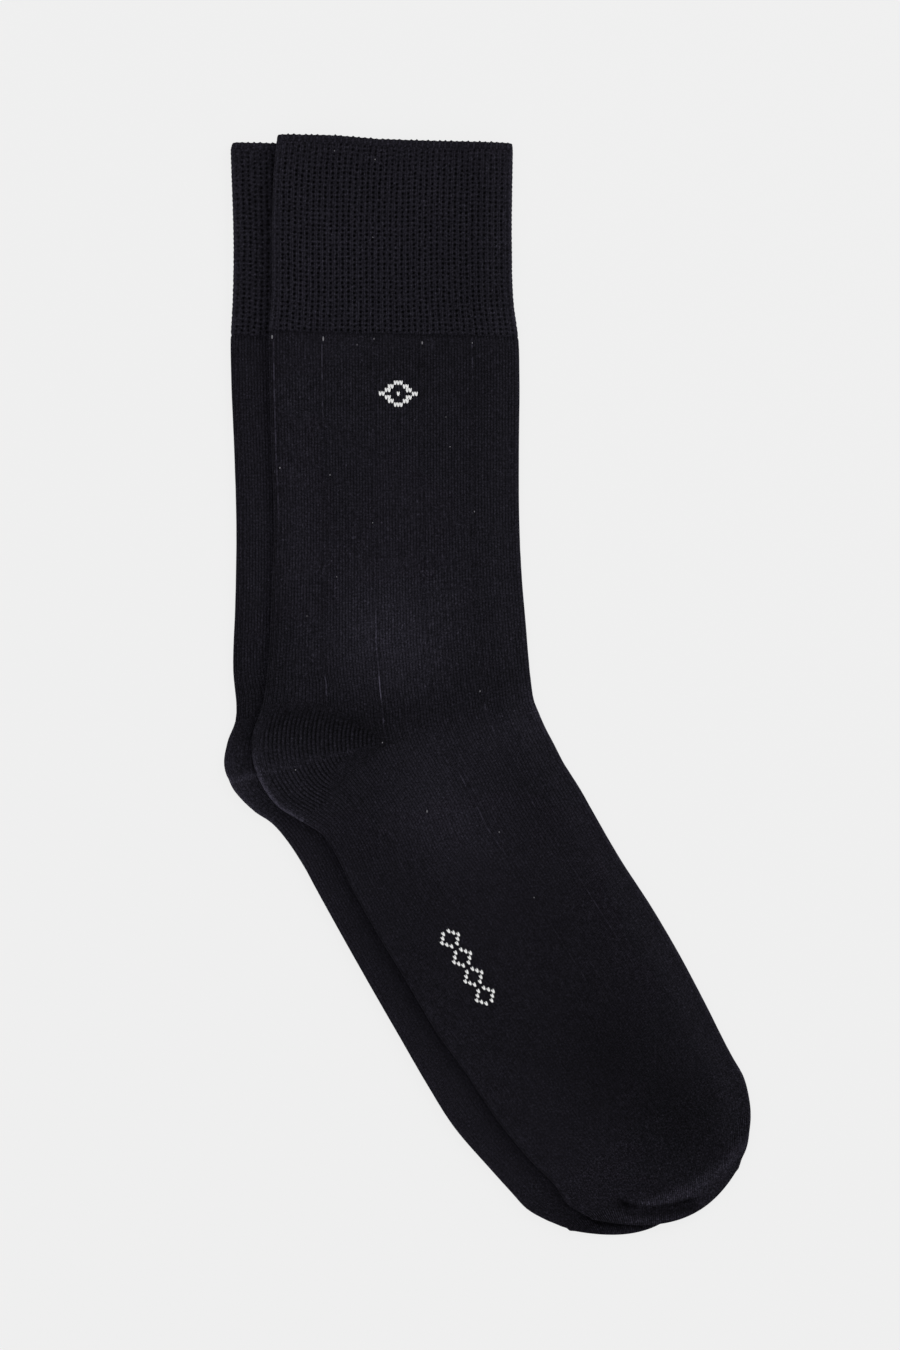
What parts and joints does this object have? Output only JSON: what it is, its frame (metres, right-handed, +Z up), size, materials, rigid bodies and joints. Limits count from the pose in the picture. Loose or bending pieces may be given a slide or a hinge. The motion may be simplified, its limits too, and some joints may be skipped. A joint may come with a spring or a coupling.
{
  "type": "pair of socks",
  "caption": "Pair of fine-knit dress socks lying flat one over the other, with ribbed legs, elastic mesh cuffs, shaped heels and closed rounded toes.",
  "frame": {"origin": "under the middle of the pair's box, on the surface that the pair lies on", "axes": "+Y up the legs towards the hems, +X towards the instep side, +Z up from the surface"},
  "size_m": [0.1942, 0.4064, 0.0069],
  "materials": {
    "knit": "matt fine cotton knit, near black"
  },
  "bodies": {
    "root": {"sock_under": "knit", "sock_over": "knit"}
  },
  "joints": []
}
